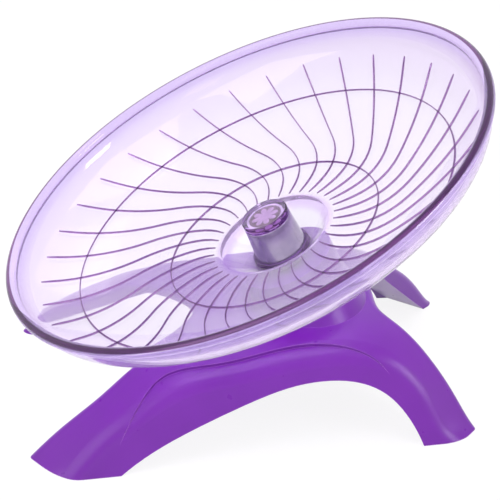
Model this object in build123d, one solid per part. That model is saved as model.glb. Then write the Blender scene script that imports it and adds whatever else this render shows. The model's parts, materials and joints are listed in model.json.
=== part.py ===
from build123d import *
import math
import os

# Exercise wheel for a small pet: a clear saucer that spins on a tilted axle,
# carried by a moulded stand with four arched legs.
# Millimetres. The floor is z = 0, the saucer leans down towards -X,
# and the origin is on the floor under the middle of the saucer's rim.
# Pieces on the axle are drawn upright about Z, with z = 0 at the rim's plane, then leaned over.

# saucer
saucer_radius = 90.0
rim_height = 81.8
saucer_tilt = 24.0
wall = 2.0
bead_radius = 1.9
bowl_depth = 25.2
bowl_arc_radius = 82.5
bowl_flat_radius = 33.0
rim_arc_radius = 10.4

# well in the middle of the saucer, where the hub cap stands
well_radius = 11.4
well_mouth_radius = 20.6
well_depth = 7.2
well_floor = 2.4
well_fillet = 2.6
collar_height = 1.1
collar_wall = 0.8
collar_root = 0.6
seat_clearance = 0.2

# traction ridges on the running surface
ridge_count = 34
ridge_width = 0.8
ridge_height = 0.7
ridge_root = 0.5
outer_ring_radius = 69.9
inner_ring_radius = 38.9
# a ridge's start, bend, hand-over to its outer arc, and tip: how far out, and how far round in degrees
ridge_radius_shares = (0.25, 0.36, 0.566, 0.905)
ridge_angles = (3.0, 1.1, 11.5, 26.3)

# hub on top of the saucer
hub_base_radius = 9.3
hub_top_radius = 8.45
hub_height = 13.1
hub_roof = 2.6
hub_bore = 4.2
hub_fillet = 0.5
lens_radius = 8.4
lens_height = 2.8
lens_fillet = 0.7
badge_radius = 6.8
badge_thickness = 0.5
badge_clearance = 0.1
nut_across_flats = 10.0
nut_height = 5.0
nut_chamfer = 0.6
nut_clearance = 0.08

# axle
thread_radius = 3.0
thread_overhang = 1.2
thread_clearance = 0.05
drive_flats = 5.2
flat_clearance = 0.1
flange_radius = 7.2
flange_thickness = 1.6
shoulder_radius = 5.6
shoulder_length = 1.6
axle_tail = 1.5
axle_chamfer = 0.5
clip_groove_depth = 0.5
clip_thickness = 0.8
clip_radius = 5.4
clip_mouth = 5.0
washer_thickness = 0.5
washer_radius = 6.0

# the two ball bearings on the axle, both 8 x 22 x 7
bearing_bore = 4.0
bearing_radius = 11.0
bearing_width = 7.0
bearing_chamfer = 0.3
inner_land_radius = 6.05
outer_land_radius = 8.95
pitch_radius = 7.5
ball_radius = 1.98
race_clearance = 0.07
ball_count = 7
cage_wall = 1.2
cage_width = 4.8
pocket_clearance = 0.08
shield_thickness = 0.3
shield_inset = 0.2
shield_seat = 0.45
shield_gap = 0.15
bearing_gap = 4.0
spacer_radius = 5.5

# bearing boss on top of the stand
boss_radius = 16.6
boss_gap = 2.4
boss_straight = 5.8
boss_tail = 2.5
boss_land = 1.8
skirt_height = 29.0
skirt_half_length = 24.0
skirt_half_width = 27.0
skirt_centre = 21.5

# stand
left_reach = 79.5
right_reach = 76.9
half_width = 54.6
web_height = 32.5
fascia_lean = 27.0
fascia_taper = 2.6
core_wall = 3.0
crease_round = 10.0
rim_round = 2.5
shelf_drop = 1.3
shelf_margin = 0.05
cut_overrun = 1.0
# the tools that shape the stand reach this share of its size, so that they pass right through it
tool_share = 1.4
# where the fascia has its full half width, along the left reach
widest_share = 0.78
# side profiles of the stand's top, from left foot to right foot, at four distances from the middle:
# along as shares of the left or right reach, up as shares of the web's height
edge_profile_share = 1.026
crest_profile_share = 0.842
shoulder_profile_share = 0.66
edge_shares = (
    (-0.755, 0),
    (-0.648, 0.215),
    (-0.44, 0.369),
    (-0.289, 0.462),
    (-0.151, 0.554),
    (0.026, 0.646),
    (0.221, 0.738),
    (0.377, 0.662),
    (0.494, 0.462),
    (0.598, 0.246),
    (0.741, 0),
)
crest_shares = (
    (-0.925, 0),
    (-0.761, 0.246),
    (-0.562, 0.492),
    (-0.403, 0.603),
    (-0.239, 0.689),
    (0, 0.769),
    (0.247, 0.846),
    (0.442, 0.791),
    (0.592, 0.585),
    (0.741, 0.277),
    (0.93, 0),
)
shoulder_shares = (
    (-1.013, 0),
    (-0.849, 0.262),
    (-0.648, 0.508),
    (-0.503, 0.686),
    (-0.352, 0.809),
    (-0.063, 0.886),
    (0.26, 0.963),
    (0.55, 0.868),
    (0.739, 0.615),
    (0.908, 0.308),
    (1.04, 0),
)
centre_shares = (
    (-1.27, 0),
    (-1.057, 0.277),
    (-0.83, 0.523),
    (-0.604, 0.708),
    (-0.415, 0.825),
    (-0.063, 0.96),
    (0.325, 1),
    (0.728, 0.938),
    (0.949, 0.662),
    (1.105, 0.338),
    (1.274, 0),
)
# lower edge of the front and rear arches, as shares like the top's
arch_shares = (
    (-0.601, 0),
    (-0.478, 0.169),
    (-0.258, 0.385),
    (-0.038, 0.56),
    (0.139, 0.665),
    (0.319, 0.695),
    (0.453, 0.649),
    (0.562, 0.532),
    (0.648, 0.335),
    (0.727, 0),
)
# plan of one half of the notch at each end: along as shares of the reach, across of the half width
left_notch_shares = ((-1.38, 0.897), (-1.0, 0.697), (-0.531, 0.453), (-0.28, 0.17), (-0.226, 0))
right_notch_shares = ((1.38, 1.243), (1.0, 0.741), (0.676, 0.33), (0.61, 0.2), (0.595, 0))
# three points on the flat inner wall of a left and of a right leg: two on the floor, one high up
left_leg_wall_shares = ((-0.597, 0.989, 0), (-0.956, 0.650, 0), (-0.553, 0.430, 0.556))
right_leg_wall_shares = ((0.727, 0.901, 0), (0.917, 0.692, 0), (0.689, 0.366, 0.765))
# plan of the inner edge of the lower shelf between two legs, from the left leg to the right one
shelf_shares = (
    (-0.64, 0.95),
    (-0.516, 0.77),
    (-0.415, 0.641),
    (-0.2, 0.614),
    (0.06, 0.572),
    (0.228, 0.555),
    (0.39, 0.585),
    (0.53, 0.65),
    (0.64, 0.76),
)

os.makedirs("parts", exist_ok=True)

# heights along the axle, down from the rim's plane
bowl_floor = -bowl_depth
well_top_face = bowl_floor - well_depth
well_under_face = well_top_face - well_floor
flange_face = well_under_face - flange_thickness
bearing_top = flange_face - shoulder_length
land_top = bearing_top - bearing_width
lower_bearing_top = land_top - bearing_gap
bearing_bottom = lower_bearing_top - bearing_width
washer_bottom = bearing_bottom - washer_thickness
clip_bottom = washer_bottom - clip_thickness
axle_end = clip_bottom - axle_tail
boss_top = well_under_face - boss_gap
boss_bottom = axle_end - boss_tail
lens_seat = well_top_face + hub_height
nut_top = well_top_face + nut_height
axle_top = nut_top + thread_overhang


def spun(profile):
    """A solid turned about the axle from a half section drawn in the XY plane, with y as height."""
    return revolve(Plane.XZ * profile, Axis.Z)


def disc(radius, low, high):
    """A plain disc about the axle."""
    return Pos(0, 0, (low + high) / 2) * Cylinder(radius, high - low)


def ring(inner, outer, low, high):
    """A plain ring about the axle."""
    return spun(Pos((inner + outer) / 2, (low + high) / 2) * Rectangle(outer - inner, high - low))


def rim_edges(piece, which):
    """The round edges of the smallest (0) or largest (-1) radius on a turned piece."""
    return piece.edges().filter_by(GeomType.CIRCLE).group_by(SortBy.RADIUS)[which]


# saucer: the bowl's long arc hands over to a tight arc just under the rim
inner_rim_radius = saucer_radius - bead_radius - bead_radius
hand_over_share = (inner_rim_radius - rim_arc_radius - bowl_flat_radius) / (bowl_arc_radius - rim_arc_radius)
hand_over_angle = math.asin(hand_over_share)


def bowl_lines(offset):
    """Running surface from the well's mouth to the rim, moved outward by an offset."""
    arc_step = bowl_arc_radius - rim_arc_radius
    bowl_centre = (bowl_flat_radius, bowl_floor + bowl_arc_radius)
    rim_centre = (
        bowl_centre[0] + arc_step * math.sin(hand_over_angle),
        bowl_centre[1] - arc_step * math.cos(hand_over_angle),
    )
    turn = math.degrees(hand_over_angle)
    long_arc = CenterArc(bowl_centre, bowl_arc_radius + offset, 270, turn)
    tight_arc = CenterArc(rim_centre, rim_arc_radius + offset, 270 + turn, 90 - turn)
    return long_arc, tight_arc


def make_bowl():
    """Bowl of the saucer with its rolled rim, its funnel-shaped well and the collar round the hub."""
    inner_long, inner_tight = bowl_lines(0)
    outer_long, outer_tight = bowl_lines(wall)
    funnel_slope = math.atan2(well_depth, well_mouth_radius - well_radius)
    under_shift = wall * math.tan(funnel_slope / 2)
    mouth = (well_mouth_radius, bowl_floor)
    under_mouth = (well_mouth_radius - under_shift, bowl_floor - wall)
    floor_gain = (well_floor - wall) / math.tan(funnel_slope)
    under_foot = (well_radius - under_shift - floor_gain, well_under_face)
    section = make_face(
        [
            Line((0, well_top_face), (well_radius, well_top_face)),
            Line((well_radius, well_top_face), mouth),
            Line(mouth, inner_long @ 0),
            inner_long,
            inner_tight,
            Line(inner_tight @ 1, outer_tight @ 1),
            outer_tight,
            outer_long,
            Line(outer_long @ 0, under_mouth),
            Line(under_mouth, under_foot),
            Line(under_foot, (0, well_under_face)),
            Line((0, well_under_face), (0, well_top_face)),
        ]
    )
    mouth_corners = [section.vertices().sort_by_distance(corner)[0] for corner in (mouth, under_mouth)]
    bead = Pos(saucer_radius - bead_radius, 0) * Circle(bead_radius)
    collar_inner = hub_base_radius + seat_clearance
    collar_top = well_top_face + collar_height
    collar = ring(collar_inner, collar_inner + collar_wall, well_top_face - collar_root, collar_top)
    return spun(fillet(mouth_corners, well_fillet) + bead) + collar


def ridge_strip():
    """One ridge seen from above: a strip of even width that bends back, then sweeps out to its tip."""
    stations = []
    for share, angle in zip(ridge_radius_shares, ridge_angles):
        turned = math.radians(angle)
        stations.append(Vector(math.cos(turned), math.sin(turned)) * (share * saucer_radius))
    inner_arc = ThreePointArc(*stations[:3])
    outer_arc = TangentArc(stations[2], stations[3], tangent=inner_arc % 1)
    edges = []
    for side in (-ridge_width / 2, ridge_width / 2):
        inner_points = [(inner_arc @ at) + (inner_arc % at).rotate(Axis.Z, 90) * side for at in (0, 0.5, 1)]
        outer_points = [(outer_arc @ at) + (outer_arc % at).rotate(Axis.Z, 90) * side for at in (0, 0.5, 1)]
        edges.append(ThreePointArc(*inner_points))
        edges.append(ThreePointArc(*outer_points))
    ends = [Line(edges[0] @ 0, edges[2] @ 0), Line(edges[1] @ 1, edges[3] @ 1)]
    return make_face(edges + ends)


def ridge_skin():
    """The layer over the running surface that ridges stand in: even height above, a root below."""
    top_long, top_tight = bowl_lines(-ridge_height)
    root_long, root_tight = bowl_lines(ridge_root)
    inner_end = ridge_radius_shares[0] * saucer_radius - ridge_width
    section = make_face(
        [
            Line((inner_end, bowl_floor + ridge_height), top_long @ 0),
            top_long,
            top_tight,
            Line(top_tight @ 1, root_tight @ 1),
            root_tight,
            root_long,
            Line(root_long @ 0, (inner_end, bowl_floor - ridge_root)),
            Line((inner_end, bowl_floor - ridge_root), (inner_end, bowl_floor + ridge_height)),
        ]
    )
    return spun(section)


def make_dish():
    """Clear saucer: bowl with two ring ridges, a swirl of S-curved ridges and the keyed hole."""
    skin = ridge_skin()
    dish = make_bowl()
    for radius in (outer_ring_radius, inner_ring_radius):
        dish += ring(radius - ridge_width / 2, radius + ridge_width / 2, bowl_floor - wall, 0) & skin
    ridge = extrude(Pos(0, 0, bowl_floor - wall) * ridge_strip(), bowl_depth + wall) & skin
    dish = dish.fuse(*[Rot(0, 0, index * 360 / ridge_count) * ridge for index in range(ridge_count)])
    return dish - drive_stud(flat_clearance, well_under_face - cut_overrun, well_top_face + cut_overrun)


def drive_stud(clearance, low, high):
    """Round stud with two flats, which turns the saucer with the axle."""
    width = drive_flats + 2 * clearance
    round_stud = disc(thread_radius + clearance, low, high)
    flats = Pos(0, 0, (low + high) / 2) * Box(2 * (thread_radius + clearance), width, high - low)
    return round_stud & flats


def make_axle():
    """Steel axle: flatted stud, flange under the saucer, shoulder, bearing journal and clip groove."""
    journal = chamfer(disc(bearing_bore, axle_end, bearing_top).edges().sort_by(Axis.Z)[0], axle_chamfer)
    groove = ring(bearing_bore - clip_groove_depth, bearing_bore + cut_overrun, clip_bottom, washer_bottom)
    stud = drive_stud(0, well_under_face, axle_top) & chamfer(
        disc(thread_radius, well_under_face, axle_top).edges().sort_by(Axis.Z)[-1], axle_chamfer
    )
    flange = disc(flange_radius, flange_face, well_under_face)
    shoulder = disc(shoulder_radius, bearing_top, flange_face)
    return journal - groove + shoulder + flange + stud


def make_nut():
    """Hexagon nut that clamps the saucer to the axle's flange."""
    corner_radius = nut_across_flats / math.sqrt(3)
    blank = disc(corner_radius, well_top_face, nut_top)
    hexagon = extrude(Pos(0, 0, well_top_face) * RegularPolygon(corner_radius, 6), nut_height)
    bore = disc(thread_radius + thread_clearance, well_top_face - cut_overrun, nut_top + cut_overrun)
    return (chamfer(rim_edges(blank, -1), nut_chamfer) & hexagon) - bore


def make_hub_cap():
    """Pearl hub cap, tapered, with a hexagon socket for the nut and a shallow seat for the badge."""
    cone = Pos(0, 0, (well_top_face + lens_seat) / 2) * Cone(hub_base_radius, hub_top_radius, hub_height)
    cap = fillet(cone.edges().filter_by(GeomType.CIRCLE).sort_by(Axis.Z)[-1], hub_fillet)
    socket_radius = nut_across_flats / math.sqrt(3) + nut_clearance
    socket_foot = Pos(0, 0, well_top_face - cut_overrun)
    socket = extrude(socket_foot * RegularPolygon(socket_radius, 6), nut_height + nut_clearance + cut_overrun)
    bore = disc(hub_bore, well_top_face, lens_seat - hub_roof)
    badge_seat = disc(badge_radius + badge_clearance, lens_seat - badge_thickness, lens_seat + cut_overrun)
    return cap - socket - bore - badge_seat


def make_lens():
    """Clear lens on the hub cap, rounded at its top edge."""
    blank = disc(lens_radius, lens_seat, lens_seat + lens_height)
    return fillet(blank.edges().filter_by(GeomType.CIRCLE).sort_by(Axis.Z)[-1], lens_fillet)


def bearing_pieces(top):
    """Inner ring, outer ring, balls, cage and two shields of a ball bearing whose top face is at a height."""
    bottom = top - bearing_width
    middle = (top + bottom) / 2
    raceway = Pos(0, 0, middle) * Torus(pitch_radius, ball_radius + race_clearance)
    inner_blank = ring(bearing_bore, inner_land_radius, bottom, top)
    inner_ring = chamfer(rim_edges(inner_blank, 0), bearing_chamfer) - raceway
    outer_blank = ring(outer_land_radius, bearing_radius, bottom, top)
    outer_ring = chamfer(rim_edges(outer_blank, -1), bearing_chamfer) - raceway
    shield_radius = outer_land_radius + shield_seat
    seat_depth = shield_inset + shield_thickness
    for low in (bottom, top - seat_depth):
        outer_ring -= ring(outer_land_radius - cut_overrun, shield_radius, low, low + seat_depth)
    shield_bore = inner_land_radius + shield_gap
    top_shield = ring(shield_bore, shield_radius, top - seat_depth, top - shield_inset)
    bottom_shield = ring(shield_bore, shield_radius, bottom + shield_inset, bottom + seat_depth)
    cage = ring(
        pitch_radius - cage_wall / 2,
        pitch_radius + cage_wall / 2,
        middle - cage_width / 2,
        middle + cage_width / 2,
    )
    pocket = Rot(0, 90, 0) * Cylinder(ball_radius + pocket_clearance, 2 * cage_wall)
    balls = []
    for index in range(ball_count):
        place = Rot(0, 0, index * 360 / ball_count) * Pos(pitch_radius, 0, middle)
        balls.append(place * Sphere(ball_radius))
        cage -= place * pocket
    return {
        "inner_ring": inner_ring,
        "outer_ring": outer_ring,
        "balls": Compound(balls),
        "cage": cage,
        "top_shield": top_shield,
        "bottom_shield": bottom_shield,
    }


def make_circlip():
    """Open spring clip in the axle's groove."""
    clip = ring(bearing_bore - clip_groove_depth, clip_radius, clip_bottom, washer_bottom)
    mouth = Pos(clip_radius, 0, (clip_bottom + washer_bottom) / 2)
    return clip - mouth * Box(2 * clip_radius, clip_mouth, 2 * clip_thickness)


def on_stand(along_share, up_share):
    """A point of a side view of the stand."""
    reach = right_reach if along_share > 0 else left_reach
    return (along_share * reach, up_share * web_height)


def under_curve(shares):
    """Side view of all that lies between a curve and a level just under the floor."""
    points = [on_stand(*pair) for pair in shares]
    left = (points[0][0], -cut_overrun)
    right = (points[-1][0], -cut_overrun)
    outline = [Spline(*points), Line(points[-1], right), Line(right, left), Line(left, points[0])]
    return Plane.XZ * make_face(outline)


def side_profile(shares, across):
    """Side view of the stand at a distance from its middle."""
    return Pos(0, across, 0) * under_curve(shares)


def make_saddle():
    """The stand's outer form from the side: a saddle that widens towards the middle."""
    edge = edge_profile_share * half_width
    crest = crest_profile_share * half_width
    shoulder = shoulder_profile_share * half_width
    return loft(
        [
            side_profile(edge_shares, -edge),
            side_profile(crest_shares, -crest),
            side_profile(shoulder_shares, -shoulder),
            side_profile(centre_shares, 0),
            side_profile(shoulder_shares, shoulder),
            side_profile(crest_shares, crest),
            side_profile(edge_shares, edge),
        ]
    )


def fascia_section(along, inset):
    """Cross-section between the two leaning fascias, narrower towards the right end."""
    full_half = half_width - math.tan(math.radians(fascia_taper)) * (along + widest_share * left_reach)
    height = tool_share * web_height
    lean_share = math.tan(math.radians(fascia_lean))
    foot = full_half - inset + cut_overrun * lean_share
    top = full_half - inset - height * lean_share
    outline = Polyline((-foot, -cut_overrun), (foot, -cut_overrun), (top, height), (-top, height), close=True)
    return Pos(along, 0, 0) * (Plane.YZ * make_face(outline))


def between_fascias(inset):
    """The space between the front and rear fascias, moved inward by an inset."""
    ends = [fascia_section(-tool_share * left_reach, inset), fascia_section(tool_share * right_reach, inset)]
    return loft(ends, ruled=True)


def end_notch(shares):
    """Tool for the notch between the two legs of one end."""
    half = [(on_stand(along, 0)[0], across * half_width) for along, across in shares]
    points = half + [(x, -y) for x, y in reversed(half[:-1])]
    plan = make_face([Spline(*points), Line(points[-1], points[0])])
    return extrude(Pos(0, 0, -cut_overrun) * plan, tool_share * web_height)


def arch_tool():
    """Tool for the front and rear arches, straight through from front to rear."""
    deep = tool_share * half_width
    return extrude(Pos(0, deep, 0) * under_curve(arch_shares), 2 * deep)


def half_space():
    """A block on top of the XY plane that holds far more than the stand."""
    side = 2 * tool_share * (left_reach + right_reach)
    return Box(side, side, side, align=(Align.CENTER, Align.CENTER, Align.MIN))


def shelf_tool(body):
    """Tool that lowers the front shelf between two legs: the body slid down along its own fascia."""
    line = Spline(*[(on_stand(along, 0)[0], -across * half_width) for along, across in shelf_shares])
    outer = -tool_share * half_width
    left = ((line @ 0).X, outer)
    right = ((line @ 1).X, outer)
    plan = make_face([line, Line(line @ 1, right), Line(right, left), Line(left, line @ 0)])
    outward = shelf_drop * math.tan(math.radians(fascia_lean)) + shelf_margin
    return extrude(plan, tool_share * web_height) - Pos(0, -outward, -shelf_drop) * body


def inside_leg_wall(shares):
    """Everything on the arch's side of a front leg's flat inner wall."""
    corners = []
    for along, across, up in shares:
        x, z = on_stand(along, up)
        corners.append(Vector(x, -across * half_width, z))
    normal = (corners[1] - corners[0]).cross(corners[2] - corners[0])
    if normal.Z > 0:
        normal = -normal
    return Plane(origin=corners[0], z_dir=normal) * half_space()


def make_skirt():
    """The boss from its round top down to the oval that it spreads to on the web."""
    top_circle = lean * Pos(0, 0, boss_top) * Circle(boss_radius)
    waist_circle = lean * Pos(0, 0, boss_top - boss_straight) * Circle(boss_radius)
    foot_oval = Pos(skirt_centre, 0, skirt_height) * Ellipse(skirt_half_length, skirt_half_width)
    return loft([top_circle, waist_circle, foot_oval])


def make_stand():
    """Moulded stand: saddle-shaped shell on four legs, with the tilted bearing boss in its middle."""
    saddle = make_saddle()
    shell = saddle & between_fascias(0)
    creases = shell.edges().sort_by(SortBy.LENGTH)[-6:].filter_by(lambda edge: edge.center().Z > core_wall)
    shell = fillet(creases, crease_round)
    shelf = shelf_tool(shell)
    shell = shell - shelf - shelf.mirror(Plane.XZ)
    shell = shell - end_notch(left_notch_shares) - end_notch(right_notch_shares)
    core = Pos(0, 0, -core_wall) * saddle & between_fascias(core_wall)
    for shares in (left_leg_wall_shares, right_leg_wall_shares):
        front = inside_leg_wall(shares)
        core = core & front & front.mirror(Plane.XZ)
    shell = (shell - core - arch_tool()) & half_space()
    on_middle = shell.edges().filter_by(lambda edge: abs(edge.center().Y) < core_wall)
    shell = fillet(on_middle.sort_by(SortBy.LENGTH)[-2:], rim_round)
    tube = lean * disc(bearing_radius + core_wall, boss_bottom, boss_top - boss_straight)
    stand = shell + make_skirt() + tube
    stand -= lean * disc(bearing_radius, bearing_top - bearing_width, boss_top + cut_overrun)
    stand -= lean * disc(bearing_radius - boss_land, boss_bottom - cut_overrun, boss_top)
    stand -= lean * disc(bearing_radius, boss_bottom - cut_overrun, lower_bearing_top)
    return stand


lean = Pos(0, 0, rim_height) * Rot(0, -saucer_tilt, 0)

on_axle = {
    "dish": make_dish(),
    "axle": make_axle(),
    "hub_nut": make_nut(),
    "hub_cap": make_hub_cap(),
    "badge_disc": disc(badge_radius, lens_seat - badge_thickness, lens_seat),
    "hub_lens": make_lens(),
    "bearing_spacer": ring(bearing_bore, spacer_radius, lower_bearing_top, land_top),
    "thrust_washer": ring(bearing_bore, washer_radius, washer_bottom, bearing_bottom),
    "circlip": make_circlip(),
}
for place, top in (("upper", bearing_top), ("lower", lower_bearing_top)):
    for name, piece in bearing_pieces(top).items():
        on_axle[f"{place}_bearing_{name}"] = piece

export_step(make_stand(), "parts/stand.step")
for name, piece in on_axle.items():
    export_step(lean * piece, f"parts/{name}.step")
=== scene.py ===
import json
import math

import bmesh
import bpy
from mathutils import Matrix, Vector


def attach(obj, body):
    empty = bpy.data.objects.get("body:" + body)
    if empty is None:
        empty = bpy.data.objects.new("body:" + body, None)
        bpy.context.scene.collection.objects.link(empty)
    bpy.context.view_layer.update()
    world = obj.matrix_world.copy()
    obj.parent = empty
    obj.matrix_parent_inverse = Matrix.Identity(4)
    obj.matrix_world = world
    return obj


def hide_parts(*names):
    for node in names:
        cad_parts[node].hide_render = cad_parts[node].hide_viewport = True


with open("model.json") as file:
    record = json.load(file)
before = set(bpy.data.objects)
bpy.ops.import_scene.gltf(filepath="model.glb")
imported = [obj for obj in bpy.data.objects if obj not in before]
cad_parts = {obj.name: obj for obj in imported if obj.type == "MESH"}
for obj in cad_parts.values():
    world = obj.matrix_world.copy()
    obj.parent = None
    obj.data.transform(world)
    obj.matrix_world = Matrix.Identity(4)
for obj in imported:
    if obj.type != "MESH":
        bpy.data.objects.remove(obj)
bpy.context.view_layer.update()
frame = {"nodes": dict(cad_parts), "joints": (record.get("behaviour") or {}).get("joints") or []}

# Studio: a white floor that keeps a faint shadow, a surround that turns pale lilac overhead,
# and five soft lamps round the wheel. The long lens stands off to the front and looks down
# by 31 degrees.
mm = 0.001
view = bpy.context.scene.view_settings
view.view_transform = "Standard"

camera_place = Vector((-74.5, -633.7, 434.0)) * mm
camera_pitch = math.radians(59.14)
camera_turn = math.radians(-6.885)
camera_lens = 154.9
camera_data = bpy.data.cameras.new("studio_camera")
camera_data.lens = camera_lens
camera_data.sensor_width = 36
camera = bpy.data.objects.new("studio_camera", camera_data)
camera.location = camera_place
camera.rotation_euler = (camera_pitch, 0, camera_turn)
bpy.context.scene.collection.objects.link(camera)
bpy.context.scene.camera = camera


def join(tree, start, end):
    """A wire from one node's socket to another's."""
    tree.links.new(start, end)


def seen_rays(tree):
    """1 for rays that look at the surround: straight, mirrored or through clear plastic."""
    rays = tree.nodes.new("ShaderNodeLightPath")
    mirrored = tree.nodes.new("ShaderNodeMath")
    mirrored.operation = "MAXIMUM"
    join(tree, rays.outputs["Is Camera Ray"], mirrored.inputs[0])
    join(tree, rays.outputs["Is Glossy Ray"], mirrored.inputs[1])
    through = tree.nodes.new("ShaderNodeMath")
    through.operation = "MAXIMUM"
    join(tree, mirrored.outputs[0], through.inputs[0])
    join(tree, rays.outputs["Is Transmission Ray"], through.inputs[1])
    return through.outputs[0]


surround_light = 0.42
ceiling_start = 0.45
ceiling_end = 0.85
ceiling_lilac = (0.84, 0.78, 0.93, 1)
surround = bpy.data.worlds.new("surround")
surround.use_nodes = True
sky = surround.node_tree
sky.nodes.clear()
lit = sky.nodes.new("ShaderNodeBackground")
lit.inputs["Color"].default_value = (1, 1, 1, 1)
lit.inputs["Strength"].default_value = surround_light
shown = sky.nodes.new("ShaderNodeBackground")
shown.inputs["Strength"].default_value = 1.0
direction = sky.nodes.new("ShaderNodeTexCoord")
upward = sky.nodes.new("ShaderNodeSeparateXYZ")
join(sky, direction.outputs["Generated"], upward.inputs[0])
ceiling = sky.nodes.new("ShaderNodeValToRGB")
ceiling.color_ramp.elements[0].position = ceiling_start
ceiling.color_ramp.elements[0].color = (1, 1, 1, 1)
ceiling.color_ramp.elements[1].position = ceiling_end
ceiling.color_ramp.elements[1].color = ceiling_lilac
join(sky, upward.outputs["Z"], ceiling.inputs[0])
join(sky, ceiling.outputs[0], shown.inputs["Color"])
blend = sky.nodes.new("ShaderNodeMixShader")
join(sky, seen_rays(sky), blend.inputs[0])
join(sky, lit.outputs[0], blend.inputs[1])
join(sky, shown.outputs[0], blend.inputs[2])
sky_out = sky.nodes.new("ShaderNodeOutputWorld")
join(sky, blend.outputs[0], sky_out.inputs["Surface"])
bpy.context.scene.world = surround

floor_half = 3.0
floor_shadow = 0.15
floor_grey = 0.93
floor_glow = 1.03
floor_mesh = bpy.data.meshes.new("studio_floor")
corners = [(-floor_half, -floor_half, 0), (floor_half, -floor_half, 0)]
corners += [(floor_half, floor_half, 0), (-floor_half, floor_half, 0)]
floor_mesh.from_pydata(corners, [], [(0, 1, 2, 3)])
floor = bpy.data.objects.new("studio_floor", floor_mesh)
bpy.context.scene.collection.objects.link(floor)
floor_paint = bpy.data.materials.new("white_floor")
floor_paint.use_nodes = True
paint = floor_paint.node_tree
matt = paint.nodes["Principled BSDF"]
matt.inputs["Base Color"].default_value = (floor_grey, floor_grey, floor_grey, 1)
matt.inputs["Roughness"].default_value = 0.9
matt.inputs["Specular IOR Level"].default_value = 0.0
white = paint.nodes.new("ShaderNodeEmission")
white.inputs["Strength"].default_value = floor_glow
share = paint.nodes.new("ShaderNodeMath")
share.operation = "MULTIPLY"
share.inputs[1].default_value = 1 - floor_shadow
join(paint, seen_rays(paint), share.inputs[0])
mixed = paint.nodes.new("ShaderNodeMixShader")
join(paint, share.outputs[0], mixed.inputs[0])
join(paint, matt.outputs[0], mixed.inputs[1])
join(paint, white.outputs[0], mixed.inputs[2])
join(paint, mixed.outputs[0], paint.nodes["Material Output"].inputs["Surface"])
floor_mesh.materials.append(floor_paint)

lamp_aim = Vector((0, 0, 55)) * mm


def soft_lamp(name, place, side, watts, mirrored):
    """A square soft lamp that faces the wheel. A veiled one isn't mirrored in glossy plastic."""
    data = bpy.data.lights.new(name, "AREA")
    data.shape = "SQUARE"
    data.size = side
    data.energy = watts
    lamp = bpy.data.objects.new(name, data)
    lamp.location = place
    lamp.visible_glossy = mirrored
    lamp.rotation_euler = (lamp_aim - Vector(place)).to_track_quat("-Z", "Y").to_euler()
    bpy.context.scene.collection.objects.link(lamp)


soft_lamp("left_lamp", (-0.75, -0.35, 0.85), 0.80, 2.9, True)
soft_lamp("right_lamp", (0.80, -0.45, 0.60), 0.30, 1.8, True)
soft_lamp("front_lamp", (-0.1, -1.0, 0.5), 0.35, 1.1, False)
soft_lamp("back_lamp", (0.15, 0.85, 0.95), 0.60, 2.2, False)
soft_lamp("top_lamp", (0.0, 0.1, 1.1), 0.60, 4.8, False)

# Stand: one moulding of glossy purple ABS with four legs and the bearing boss.
# The mould leaves soft edges, rounded in the shading and lightened by a painted highlight in a
# pale purple; a faint ripple in the gloss and a slight haze.


def start_finish(name):
    """A new finish: its material, the tree of nodes and the main shader in it."""
    finish = bpy.data.materials.new(name)
    finish.use_nodes = True
    return finish, finish.node_tree, finish.node_tree.nodes["Principled BSDF"]


def grain(tree, scale, detail=2.0, stretch=(1, 1, 1)):
    """A noise pattern that is fixed to the piece, scale in lumps per metre."""
    place = tree.nodes.new("ShaderNodeTexCoord")
    mapping = tree.nodes.new("ShaderNodeMapping")
    mapping.inputs["Scale"].default_value = stretch
    join(tree, place.outputs["Object"], mapping.inputs["Vector"])
    noise = tree.nodes.new("ShaderNodeTexNoise")
    noise.inputs["Scale"].default_value = scale
    noise.inputs["Detail"].default_value = detail
    join(tree, mapping.outputs[0], noise.inputs["Vector"])
    return noise.outputs[0]


def ramp(tree, value, *stops):
    """Colours by value, each stop a position and a colour."""
    node = tree.nodes.new("ShaderNodeValToRGB")
    elements = node.color_ramp.elements
    while len(elements) < len(stops):
        elements.new(0.5)
    for element, (position, colour) in zip(elements, stops):
        element.position = position
        element.color = (*colour, 1)
    join(tree, value, node.inputs[0])
    return node.outputs[0]


def spread(tree, value, low, high):
    """A value from 0 to 1 moved to the range from low to high."""
    node = tree.nodes.new("ShaderNodeMapRange")
    node.inputs["To Min"].default_value = low
    node.inputs["To Max"].default_value = high
    join(tree, value, node.inputs["Value"])
    return node.outputs[0]


def relief(tree, height, depth, strength, normal=None):
    """Bumps of a real depth in metres."""
    node = tree.nodes.new("ShaderNodeBump")
    node.inputs["Distance"].default_value = depth
    node.inputs["Strength"].default_value = strength
    join(tree, height, node.inputs["Height"])
    if normal is not None:
        join(tree, normal, node.inputs["Normal"])
    return node.outputs[0]


def soft_edges(tree, radius):
    """Normals that round the edges of a hard-edged piece."""
    node = tree.nodes.new("ShaderNodeBevel")
    node.samples = 6
    node.inputs["Radius"].default_value = radius
    return node.outputs[0]


def dress(node, finish):
    """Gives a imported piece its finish."""
    piece = frame["nodes"][node]
    for place in piece.material_slots:
        place.material = finish


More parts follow.
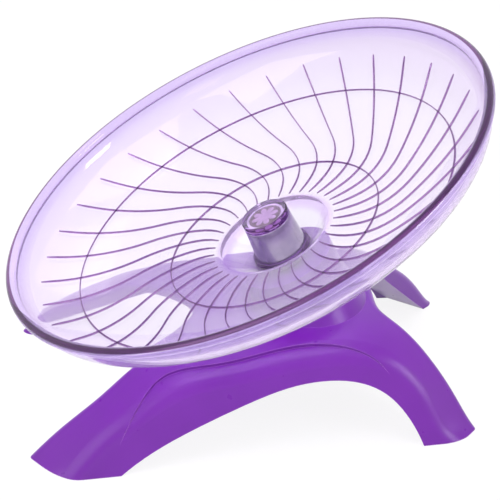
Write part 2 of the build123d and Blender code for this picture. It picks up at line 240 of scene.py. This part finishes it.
stand_dark = (0.158, 0.011, 0.335)
stand_light = (0.190, 0.017, 0.390)
# Pale purple of the painted highlight along the stand's edges.
stand_edge_highlight = (0.62, 0.20, 0.92)
stand_edge_radius = 0.4 * mm
stand_ripple = 0.04 * mm
black = (0, 0, 0)
stand_purple, tree, shader = start_finish("stand_purple")
tone = ramp(tree, grain(tree, 28), (0.3, stand_dark), (0.7, stand_light))
# Painted highlight: where the rounded normals part from the true ones, at the edges, the base
# colour is lightened towards that pale purple.
rounding = soft_edges(tree, stand_edge_radius)
flatness = tree.nodes.new("ShaderNodeVectorMath")
flatness.operation = "DOT_PRODUCT"
join(tree, rounding, flatness.inputs[0])
join(tree, tree.nodes.new("ShaderNodeNewGeometry").outputs["Normal"], flatness.inputs[1])
painted_edge_light = ramp(tree, flatness.outputs["Value"], (0.80, stand_edge_highlight), (0.97, black))
tone_and_painted_edge = tree.nodes.new("ShaderNodeMix")
tone_and_painted_edge.data_type = "RGBA"
tone_and_painted_edge.blend_type = "LIGHTEN"
tone_and_painted_edge.inputs["Factor"].default_value = 1.0
join(tree, tone, tone_and_painted_edge.inputs["A"])
join(tree, painted_edge_light, tone_and_painted_edge.inputs["B"])
join(tree, tone_and_painted_edge.outputs["Result"], shader.inputs["Base Color"])
join(tree, spread(tree, grain(tree, 260, 4), 0.24, 0.36), shader.inputs["Roughness"])
shader.inputs["IOR"].default_value = 1.53
shader.inputs["Specular IOR Level"].default_value = 0.3
shader.inputs["Coat Weight"].default_value = 0.3
shader.inputs["Coat Roughness"].default_value = 0.33
ripple = relief(tree, grain(tree, 120, 1), stand_ripple, 0.5, rounding)
join(tree, ripple, shader.inputs["Normal"])
dress("stand", stand_purple)

# Two ball bearings pressed in the boss: ground steel rings, chrome balls, a pressed cage and two
# shields each. The upper one shows through the clear well, so its outer ring and top seal are
# finished in the stand's purple.
tool_mark = 0.01 * mm


def steel(name, colour, rough, grit):
    """Bare metal, faintly clouded and pitted. Grit is the fineness of the marks, per metre."""
    finish, tree, shader = start_finish(name)
    shader.inputs["Metallic"].default_value = 1.0
    darker = tuple(0.9 * part for part in colour)
    tint = ramp(tree, grain(tree, grit, 3), (0.3, darker), (0.7, colour))
    join(tree, tint, shader.inputs["Base Color"])
    haze = spread(tree, grain(tree, 3 * grit, 4), 0.7 * rough, 1.4 * rough)
    join(tree, haze, shader.inputs["Roughness"])
    join(tree, relief(tree, grain(tree, grit, 3), tool_mark, 0.4), shader.inputs["Normal"])
    return finish


bearing_steel = steel("bearing_steel", (0.62, 0.62, 0.64), 0.18, 900)
ball_chrome = steel("ball_chrome", (0.75, 0.75, 0.77), 0.06, 300)
cage_steel = steel("cage_steel", (0.50, 0.49, 0.47), 0.30, 700)
shield_steel = steel("shield_steel", (0.58, 0.58, 0.60), 0.25, 800)
for place in ("upper", "lower"):
    dress(f"{place}_bearing_inner_ring", bearing_steel)
    dress(f"{place}_bearing_outer_ring", bearing_steel)
    dress(f"{place}_bearing_balls", ball_chrome)
    dress(f"{place}_bearing_cage", cage_steel)
    dress(f"{place}_bearing_top_shield", shield_steel)
    dress(f"{place}_bearing_bottom_shield", shield_steel)
seal_dark = (0.16, 0.012, 0.34)
seal_light = (0.19, 0.016, 0.40)
seal_purple, tree, shader = start_finish("seal_purple")
tone = ramp(tree, grain(tree, 400, 2), (0.3, seal_dark), (0.7, seal_light))
join(tree, tone, shader.inputs["Base Color"])
join(tree, spread(tree, grain(tree, 900, 3), 0.4, 0.55), shader.inputs["Roughness"])
dress("upper_bearing_top_shield", seal_purple)
dress("upper_bearing_outer_ring", seal_purple)

# Axle with its nut, spacer, washer and clip: zinc-plated steel, the clip blued spring steel.
# The nut pulls the saucer down on the axle's flange. From the upper bearing up the axle is
# enamelled purple, because its flange shows through the clear well.
spin = next(joint for joint in frame["joints"] if joint["name"] == "saucer_spin")
enamel_start = -38.3 * mm
enamel_full = -38.2 * mm
enamel_purple = (0.20, 0.02, 0.44)


def axle_place(tree):
    """The place on a piece, measured from the middle of the rim."""
    place = tree.nodes.new("ShaderNodeTexCoord")
    from_rim = tree.nodes.new("ShaderNodeVectorMath")
    from_rim.operation = "SUBTRACT"
    join(tree, place.outputs["Object"], from_rim.inputs[0])
    from_rim.inputs[1].default_value = spin["pos_m"]
    return from_rim.outputs[0]


def axle_height(tree):
    """The height along the axle above the rim."""
    height = tree.nodes.new("ShaderNodeVectorMath")
    height.operation = "DOT_PRODUCT"
    join(tree, axle_place(tree), height.inputs[0])
    height.inputs[1].default_value = spin["axis"]
    return height.outputs["Value"]


def share_of(tree, value, low, high):
    """0 to 1 as a value goes from low to high."""
    step = tree.nodes.new("ShaderNodeMapRange")
    step.inputs["From Min"].default_value = low
    step.inputs["From Max"].default_value = high
    join(tree, value, step.inputs["Value"])
    return step.outputs[0]


def mixed_tint(tree, share, first, second):
    """The first colour where the share is 0 and the second where it is 1."""
    node = tree.nodes.new("ShaderNodeMix")
    node.data_type = "RGBA"
    join(tree, share, node.inputs["Factor"])
    for socket, colour in ((node.inputs["A"], first), (node.inputs["B"], second)):
        if isinstance(colour, tuple):
            socket.default_value = (*colour, 1)
        else:
            join(tree, colour, socket)
    return node.outputs["Result"]


axle_steel = steel("axle_steel", (0.66, 0.66, 0.68), 0.22, 600)
nut_steel = steel("nut_steel", (0.60, 0.60, 0.58), 0.28, 500)
spring_steel = steel("spring_steel", (0.16, 0.16, 0.20), 0.35, 500)
axle_finish = axle_steel.copy()
axle_finish.name = "axle_enamelled"
tree = axle_finish.node_tree
shader = tree.nodes["Principled BSDF"]
enamelled = share_of(tree, axle_height(tree), enamel_start, enamel_full)
bare = shader.inputs["Base Color"].links[0].from_socket
axle_tint = mixed_tint(tree, enamelled, bare, enamel_purple)
join(tree, axle_tint, shader.inputs["Base Color"])
join(tree, spread(tree, enamelled, 1.0, 0.0), shader.inputs["Metallic"])
dress("axle", axle_finish)
dress("hub_nut", nut_steel)
dress("bearing_spacer", axle_steel)
dress("thrust_washer", nut_steel)
dress("circlip", spring_steel)

# Saucer: clear lilac polycarbonate, injection moulded in one shot, with a funnel-shaped well
# in the middle, a low collar round the hub, and a wall that turns up tightly to a round bead
# at the rim. The nut clamps it through a hole with two flats.
lean_turn = Vector((0, 0, 1)).rotation_difference(Vector(spin["axis"]))
lean = Matrix.Translation(spin["pos_m"]) @ lean_turn.to_matrix().to_4x4()

saucer_radius = 90.0 * mm
wall = 2.0 * mm
bead_radius = 1.9 * mm
bowl_depth = 25.2 * mm
bowl_arc_radius = 82.5 * mm
bowl_flat_radius = 33.0 * mm
rim_arc_radius = 10.4 * mm
well_radius = 11.4 * mm
well_mouth_radius = 20.6 * mm
well_depth = 7.2 * mm
well_floor = 2.4 * mm
well_round = 2.6 * mm
collar_height = 1.1 * mm
collar_inner = 9.5 * mm
collar_outer = 10.3 * mm
hole_radius = 3.1 * mm
hole_half_flats = 2.7 * mm
slices = 288
saucer_tint = (0.937, 0.928, 0.975)
saucer_depth_tint = (0.80, 0.45, 0.92)
saucer_depth = 60
saucer_clearness = 0.85
mould_ripple = 0.04 * mm

bowl_floor = -bowl_depth
well_top = bowl_floor - well_depth
well_under = well_top - well_floor
inner_rim = saucer_radius - 2 * bead_radius
arc_step = bowl_arc_radius - rim_arc_radius
hand_over = math.asin((inner_rim - rim_arc_radius - bowl_flat_radius) / arc_step)
bowl_centre = Vector((bowl_flat_radius, bowl_floor + bowl_arc_radius))
rim_centre = bowl_centre + Vector((math.sin(hand_over), -math.cos(hand_over))) * arc_step


def sweep(centre, radius, start, end, count):
    """Points along an arc of a section, angles up from straight down."""
    points = []
    for step in range(count + 1):
        angle = start + (end - start) * step / count
        points.append(centre + Vector((math.sin(angle), -math.cos(angle))) * radius)
    return points


def rounded(before, corner, after, radius, count):
    """Points that round a corner of a section."""
    inward = (before - corner).normalized()
    outward = (after - corner).normalized()
    half = inward.angle(outward) / 2
    centre = corner + (inward + outward).normalized() * (radius / math.sin(half))
    first = corner + inward * (radius / math.tan(half)) - centre
    last = corner + outward * (radius / math.tan(half)) - centre
    points = []
    for step in range(count + 1):
        share = step / count
        points.append(centre + (first * (1 - share) + last * share).normalized() * radius)
    return points


def clear_plastic(name, tint, depth_tint, density, rough, marks, clearness=1.0):
    """Clear plastic that is tinted through its depth, and lets lamps through with its tint.

    Density is the absorption per metre, rough the least roughness and marks the ripple's strength.
    """
    finish, tree, shader = start_finish(name)
    shader.inputs["Base Color"].default_value = (*tint, 1)
    shader.inputs["Transmission Weight"].default_value = clearness
    shader.inputs["IOR"].default_value = 1.49
    haze = spread(tree, grain(tree, 700, 4, (1, 1, 3)), rough, 3 * rough)
    join(tree, haze, shader.inputs["Roughness"])
    join(tree, relief(tree, grain(tree, 90, 2), mould_ripple, marks), shader.inputs["Normal"])
    depth = tree.nodes.new("ShaderNodeVolumeAbsorption")
    depth.inputs["Color"].default_value = (*depth_tint, 1)
    depth.inputs["Density"].default_value = density
    output = tree.nodes["Material Output"]
    join(tree, depth.outputs[0], output.inputs["Volume"])
    lamps = tree.nodes.new("ShaderNodeBsdfTransparent")
    lamps.inputs["Color"].default_value = (*tint, 1)
    rays = tree.nodes.new("ShaderNodeLightPath")
    mix = tree.nodes.new("ShaderNodeMixShader")
    join(tree, rays.outputs["Is Shadow Ray"], mix.inputs[0])
    join(tree, shader.outputs[0], mix.inputs[1])
    join(tree, lamps.outputs[0], mix.inputs[2])
    join(tree, mix.outputs[0], output.inputs["Surface"])
    return finish


def axle_distance(tree):
    """The distance from the axle's line."""
    moment = tree.nodes.new("ShaderNodeVectorMath")
    moment.operation = "CROSS_PRODUCT"
    join(tree, axle_place(tree), moment.inputs[0])
    moment.inputs[1].default_value = spin["axis"]
    length = tree.nodes.new("ShaderNodeVectorMath")
    length.operation = "LENGTH"
    join(tree, moment.outputs[0], length.inputs[0])
    return length.outputs["Value"]


def make_piece(name, points, faces, finish, crease=40):
    """A shown piece from its points about the upright axle, leaned over with it.

    Its surface is smooth but for the edges that turn by more than the crease, in degrees.
    """
    mesh = bpy.data.meshes.new(name)
    mesh.from_pydata([lean @ Vector(point) for point in points], [], faces)
    mesh.validate()
    skin = bmesh.new()
    skin.from_mesh(mesh)
    bmesh.ops.recalc_face_normals(skin, faces=skin.faces)
    skin.to_mesh(mesh)
    skin.free()
    mesh.polygons.foreach_set("use_smooth", [True] * len(mesh.polygons))
    mesh.set_sharp_from_angle(angle=math.radians(crease))
    mesh.materials.append(finish)
    piece = bpy.data.objects.new(name, mesh)
    bpy.context.scene.collection.objects.link(piece)
    return piece


def turned(section):
    """Points and faces of a closed section turned about the axle."""
    points = []
    for index in range(slices):
        angle = 2 * math.pi * index / slices
        for across, height in section:
            points.append((across * math.cos(angle), across * math.sin(angle), height))
    width = len(section)
    faces = []
    for index in range(slices):
        here = index * width
        there = (index + 1) % slices * width
        for step in range(width):
            after = (step + 1) % width
            faces.append((here + step, here + after, there + after, there + step))
    return points, faces


mouth_steps = 8
bowl_steps = 44
rim_steps = 18
bead_steps = 26
well_slope = math.atan2(well_depth, well_mouth_radius - well_radius)
under_shift = wall * math.tan(well_slope / 2)
under_gain = (well_floor - wall) / math.tan(well_slope)
mouth = Vector((well_mouth_radius, bowl_floor))
under_mouth = Vector((well_mouth_radius - under_shift, bowl_floor - wall))
well_corner = Vector((well_radius, well_top))
under_corner = Vector((well_radius - under_shift - under_gain, well_under))
flat_end = Vector((bowl_flat_radius, bowl_floor))
under_flat_end = Vector((bowl_flat_radius, bowl_floor - wall))
collar_top = well_top + collar_height
inside = [Vector((hole_radius, well_top)), Vector((collar_inner, well_top))]
inside += [Vector((collar_inner, collar_top)), Vector((collar_outer, collar_top))]
inside += [Vector((collar_outer, well_top)), well_corner]
inside += rounded(well_corner, mouth, flat_end, well_round, mouth_steps)
inside += sweep(bowl_centre, bowl_arc_radius, 0, hand_over, bowl_steps)
inside += sweep(rim_centre, rim_arc_radius, hand_over, math.pi / 2, rim_steps)[1:]
bead_centre = Vector((saucer_radius - bead_radius, 0))
bead_foot = math.pi / 2 - math.asin(bead_radius / (rim_arc_radius + wall))
bead = sweep(bead_centre, bead_radius, -math.pi / 2, -2 * math.pi, bead_steps)[1:]
outside = bead + sweep(rim_centre, rim_arc_radius + wall, bead_foot, hand_over, rim_steps)
outside += sweep(bowl_centre, bowl_arc_radius + wall, hand_over, 0, bowl_steps)[1:]
outside += rounded(under_flat_end, under_mouth, under_corner, well_round, mouth_steps)
outside += [under_corner, Vector((hole_radius, well_under))]
bowl_points, bowl_faces = turned(inside + outside)
hole_reach = hole_radius * 1.01
keyed = []
for x, y, z in bowl_points:
    if math.hypot(x, y) < hole_reach:
        y = max(-hole_half_flats, min(hole_half_flats, y))
    keyed.append((x, y, z))

# Painted shade on the saucer: from 18 mm below the rim up to 1 mm below it, the wall's colour
# deepens from the clear tint through lilac to a blue-violet. This stands in for the darker look of
# the grazing wall and rim.
wall_tint_low = -18.0 * mm
wall_tint_high = -1.0 * mm
wall_shade_lilac = (0.885, 0.855, 0.945)
wall_shade_violet = (0.865, 0.805, 0.955)
rim_shade_violet = (0.79, 0.70, 0.98)
# Painted shade: a near-black plum line round the top of the bead, from 18 to 108 degrees about its
# centre. It stands in for the dark band that refraction shows in the clear rim.
bead_line_start = math.radians(18)
bead_line_end = math.radians(108)
bead_painted_shade = (0.06, 0.008, 0.07)
# Painted reflection: a lilac band round the bend at the well's mouth, standing in for the arc of
# light seen on that shoulder.
mouth_bend_inner = 16.0 * mm
mouth_bend_outer = 23.0 * mm
mouth_painted_reflection = (0.82, 0.70, 0.96)
# Painted shade: a dull plum band over the clear collar round the hub, standing in for the dark
# line at the hub's foot.
collar_band_inner = 9.2 * mm
collar_band_outer = 10.6 * mm
collar_painted_shade = (0.40, 0.27, 0.46)
full = (1, 1, 1)
saucer_clear = clear_plastic(
    "saucer_clear",
    saucer_tint,
    saucer_depth_tint,
    saucer_depth,
    0.02,
    0.25,
    saucer_clearness,
)
tree = saucer_clear.node_tree
# The saucer's base colour is its clear tint, deepened towards the rim as painted shade. It also
# carries the painted bead line, the painted reflection at the well's mouth and the painted shade
# on the collar.
tint_and_painted_light = ramp(
    tree,
    share_of(tree, axle_height(tree), wall_tint_low, wall_tint_high),
    (0.0, saucer_tint),
    (0.3, wall_shade_lilac),
    (0.7, wall_shade_violet),
    (0.91, rim_shade_violet),
)
# Painted shade: the plum line round the bead, by its angle about the bead's centre.
from_bead = tree.nodes.new("ShaderNodeMath")
from_bead.operation = "SUBTRACT"
join(tree, axle_distance(tree), from_bead.inputs[0])
from_bead.inputs[1].default_value = bead_centre.x
round_bead = tree.nodes.new("ShaderNodeMath")
round_bead.operation = "ARCTAN2"
join(tree, axle_height(tree), round_bead.inputs[0])
join(tree, from_bead.outputs[0], round_bead.inputs[1])
bead_line = ramp(
    tree,
    share_of(tree, round_bead.outputs[0], bead_line_start, bead_line_end),
    (0.08, black),
    (0.18, full),
    (0.82, full),
    (0.92, black),
)
tint_and_painted_light = mixed_tint(tree, bead_line, tint_and_painted_light, bead_painted_shade)
# Painted reflection: the lilac band at the well's mouth, by distance from the axle.
mouth_bend = ramp(
    tree,
    share_of(tree, axle_distance(tree), mouth_bend_inner, mouth_bend_outer),
    (0.07, black),
    (0.35, full),
    (0.65, full),
    (0.93, black),
)
tint_and_painted_light = mixed_tint(tree, mouth_bend, tint_and_painted_light, mouth_painted_reflection)
# Painted shade: the plum band on the collar, by distance from the axle.
collar_band = ramp(
    tree,
    share_of(tree, axle_distance(tree), collar_band_inner, collar_band_outer),
    (0.05, black),
    (0.15, full),
    (0.85, full),
    (0.95, black),
)
tint_and_painted_light = mixed_tint(tree, collar_band, tint_and_painted_light, collar_painted_shade)
join(tree, tint_and_painted_light, tree.nodes["Principled BSDF"].inputs["Base Color"])
bowl = make_piece("saucer_bowl", keyed, bowl_faces, saucer_clear)
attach(bowl, "saucer")
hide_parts("dish")

# Traction ridges: thirty-four S-curved ribs and two rings that stand out of the running surface
# and give small feet a hold. They are part of the clear moulding; their deep plum tint is painted
# shade, standing in for the dark lines that refraction draws along them.
ridge_count = 34
ridge_half_width = 0.24 * mm
ridge_height = 0.6 * mm
ridge_root = 0.4 * mm
ring_radii = (69.9 * mm, 38.9 * mm)
ridge_radius_shares = (0.25, 0.36, 0.566, 0.905)
ridge_angles = (3.0, 1.1, 11.5, 26.3)
ridge_steps = 30
rib_arc_steps = 8
end_rise = (0.35, 0.8)
# Painted shade: the ribs' deep plum tint and strong absorption make them read as dark lines.
ridge_shade_tint = (0.55, 0.33, 0.63)
ridge_shade_depth_tint = (0.32, 0.13, 0.42)
ridge_depth = 480


def bowl_spot(across):
    """Place and outward normal on the running surface at a distance from the axle."""
    if across <= bowl_flat_radius:
        return Vector((across, bowl_floor)), Vector((0, 1))
    centre, radius = bowl_centre, bowl_arc_radius
    if across > bowl_centre.x + bowl_arc_radius * math.sin(hand_over):
        centre, radius = rim_centre, rim_arc_radius
    angle = math.asin((across - centre.x) / radius)
    up = Vector((-math.sin(angle), math.cos(angle)))
    return centre - up * radius, up


def rib_section(rise=1.0):
    """Section of a rib: round on top, rooted in the wall. Sideways and up from the surface."""
    points = [(-ridge_half_width, -ridge_root)]
    for step in range(rib_arc_steps + 1):
        angle = math.pi * (1 - step / rib_arc_steps)
        points.append((ridge_half_width * math.cos(angle), ridge_height * rise * math.sin(angle)))
    return points + [(ridge_half_width, -ridge_root)]


def arc_spots(first, middle, last, count):
    """Points in plan along the arc through three points, and the direction at its end."""
    to_middle, to_last = middle - first, last - first
    twice_area = 2 * to_middle.cross(to_last)
    near, far = to_middle.length_squared, to_last.length_squared
    shift_x = (to_last.y * near - to_middle.y * far) / twice_area
    shift_y = (to_middle.x * far - to_last.x * near) / twice_area
    shift = Vector((shift_x, shift_y))
    centre = first + shift
    start = math.atan2(*(first - centre).yx)
    sweep_angle = math.atan2(*(last - centre).yx) - start
    sweep_angle = (sweep_angle + math.pi) % (2 * math.pi) - math.pi
    spots = []
    for step in range(count + 1):
        angle = start + sweep_angle * step / count
        spots.append(centre + Vector((math.cos(angle), math.sin(angle))) * shift.length)
    end = start + sweep_angle
    heading = Vector((-math.sin(end), math.cos(end))) * math.copysign(1, sweep_angle)
    return spots, heading


stations = []
for part, angle in zip(ridge_radius_shares, ridge_angles):
    turn = math.radians(angle)
    stations.append(Vector((math.cos(turn), math.sin(turn))) * part * saucer_radius)
spine, heading = arc_spots(*stations[:3], ridge_steps // 3)
side = Vector((-heading.y, heading.x))
chord = stations[3] - stations[2]
bend = chord.length_squared / (2 * chord.dot(side))
outer_centre = stations[2] + side * bend
chord_middle = (stations[2] + stations[3]) / 2
outer_middle = outer_centre - (outer_centre - chord_middle).normalized() * abs(bend)
spine += arc_spots(stations[2], outer_middle, stations[3], 2 * ridge_steps // 3)[0][1:]

rib_points = []
rib_faces = []
for index, spot in enumerate(spine):
    before = spine[max(index - 1, 0)]
    after = spine[min(index + 1, len(spine) - 1)]
    along = (after - before).normalized()
    across = spot.length
    place, up = bowl_spot(across)
    outward = spot.normalized()
    normal = Vector((outward.x * up.x, outward.y * up.x, up.y))
    base = Vector((spot.x, spot.y, place.y))
    level = Vector((-along.y, along.x, 0))
    sideways = (level - normal * level.dot(normal)).normalized()
    from_end = min(index, len(spine) - 1 - index)
    rise = end_rise[from_end] if from_end < len(end_rise) else 1.0
    for sidestep, height in rib_section(rise):
        rib_points.append(base + sideways * sidestep + normal * height)
width = len(rib_section())
for index in range(len(spine) - 1):
    here, there = index * width, (index + 1) * width
    for step in range(width):
        after = (step + 1) % width
        rib_faces.append((here + step, here + after, there + after, there + step))
rib_faces.append(tuple(range(width)))
rib_faces.append(tuple(range(len(rib_points) - width, len(rib_points))))
swirl_points = []
swirl_faces = []
for index in range(ridge_count):
    turn = Matrix.Rotation(2 * math.pi * index / ridge_count, 3, "Z")
    shift = len(swirl_points)
    swirl_points += [turn @ point for point in rib_points]
    swirl_faces += [tuple(corner + shift for corner in face) for face in rib_faces]
ridge_painted_shade = clear_plastic("ridge_painted_shade", ridge_shade_tint, ridge_shade_depth_tint, ridge_depth, 0.05, 0.1)
swirl = make_piece("saucer_ridges", swirl_points, swirl_faces, ridge_painted_shade)
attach(swirl, "saucer")
for name, radius in zip(("outer_ring_ridge", "inner_ring_ridge"), ring_radii):
    place, up = bowl_spot(radius)
    sideways = Vector((up.y, -up.x))
    section = [place + sideways * sidestep + up * height for sidestep, height in rib_section()]
    ring_ridge = make_piece(name, *turned(section), ridge_painted_shade)
    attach(ring_ridge, "saucer")

# Hub cap: pearl lilac-grey moulding pressed over the nut. Fine mica in the plastic clouds
# it and gives it a metal sheen under a clear coat.
pearl_dark = (0.33, 0.28, 0.41)
pearl_light = (0.43, 0.38, 0.50)
cap_edge_radius = 0.3 * mm
mica_relief = 0.01 * mm
hub_pearl, tree, shader = start_finish("hub_pearl")
pearl = ramp(tree, grain(tree, 170, 2), (0.35, pearl_dark), (0.65, pearl_light))
join(tree, pearl, shader.inputs["Base Color"])
shader.inputs["Metallic"].default_value = 0.7
join(tree, spread(tree, grain(tree, 2600, 2), 0.13, 0.2), shader.inputs["Roughness"])
shader.inputs["Coat Weight"].default_value = 0.6
shader.inputs["Coat Roughness"].default_value = 0.05
cap_rounding = soft_edges(tree, cap_edge_radius)
mica = relief(tree, grain(tree, 5200, 1), mica_relief, 0.35, cap_rounding)
join(tree, mica, shader.inputs["Normal"])
dress("hub_cap", hub_pearl)

# Lens: a clear purple acrylic disc with a rounded edge, glued on the cap over the badge.
# Its face is nearly colourless, and its side is painted a deep violet as shade, standing in for
# the dark violet crescent round the lens's edge.
lens_face = (0.93, 0.86, 0.98)
lens_side_shade = (0.36, 0.14, 0.50)
lens_depth_tint = (0.55, 0.30, 0.75)
lens_depth = 50
lens_face_radius = 7.9 * mm
lens_side_radius = 8.1 * mm
lens_clear = clear_plastic("lens_clear", lens_face, lens_depth_tint, lens_depth, 0.02, 0.1)
tree = lens_clear.node_tree
# Painted shade: past 7.9 mm from the axle the lens is tinted deep violet.
lens_side = share_of(tree, axle_distance(tree), lens_face_radius, lens_side_radius)
lens_tint = mixed_tint(tree, lens_side, lens_face, lens_side_shade)
join(tree, lens_tint, tree.nodes["Principled BSDF"].inputs["Base Color"])
dress("hub_lens", lens_clear)

# Badge: a thin brown-grey plastic inlay with a pale printed border, held under the lens.
# A raised eight-petal rosette in paler lilac is moulded on it.
inlay_dark = (0.24, 0.19, 0.22)
inlay_light = (0.29, 0.23, 0.27)
border_lilac = (0.86, 0.80, 0.95)
border_start = 5.9 * mm
border_full = 6.0 * mm
badge_ground, tree, shader = start_finish("badge_inlay")
tint = ramp(tree, grain(tree, 900, 3), (0.3, inlay_dark), (0.7, inlay_light))
border = share_of(tree, axle_distance(tree), border_start, border_full)
join(tree, mixed_tint(tree, border, tint, border_lilac), shader.inputs["Base Color"])
join(tree, spread(tree, grain(tree, 2400, 3), 0.25, 0.4), shader.inputs["Roughness"])
dress("badge_disc", badge_ground)

badge_height = 13.1 * mm
rosette_foot = bowl_floor - well_depth + badge_height
rosette_sink = 0.1 * mm
rosette_rise = 0.2 * mm
rosette_radius = 4.9 * mm
rosette_dark = (0.50, 0.37, 0.55)
rosette_light = (0.60, 0.46, 0.64)
petal_count = 8
petal_steps = 12
petal_levels = (
    (1.0, -rosette_sink),
    (1.0, 0.6 * rosette_rise),
    (0.94, rosette_rise),
    (0.3, 0.7 * rosette_rise),
)
outline = []
for step in range(petal_count * petal_steps):
    angle = 2 * math.pi * step / (petal_count * petal_steps)
    petal = abs(math.cos(petal_count * angle / 2)) ** 0.6
    reach = rosette_radius * (0.5 + 0.5 * petal)
    outline.append((reach * math.cos(angle), reach * math.sin(angle)))
points = []
for share, rise in petal_levels:
    points += [(share * x, share * y, rosette_foot + rise) for x, y in outline]
around = len(outline)
top_level = len(petal_levels) - 1
faces = [tuple(range(around)), tuple(range(top_level * around, len(points)))]
for level in range(top_level):
    for step in range(around):
        after = (step + 1) % around
        low, high = level * around, (level + 1) * around
        faces.append((low + step, low + after, high + after, high + step))
rosette_lilac, tree, shader = start_finish("rosette_lilac")
tint = ramp(tree, grain(tree, 700, 2), (0.3, rosette_dark), (0.7, rosette_light))
join(tree, tint, shader.inputs["Base Color"])
join(tree, spread(tree, grain(tree, 2400, 3), 0.25, 0.4), shader.inputs["Roughness"])
rosette = make_piece("badge_rosette", points, faces, rosette_lilac, 30)
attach(rosette, "saucer")
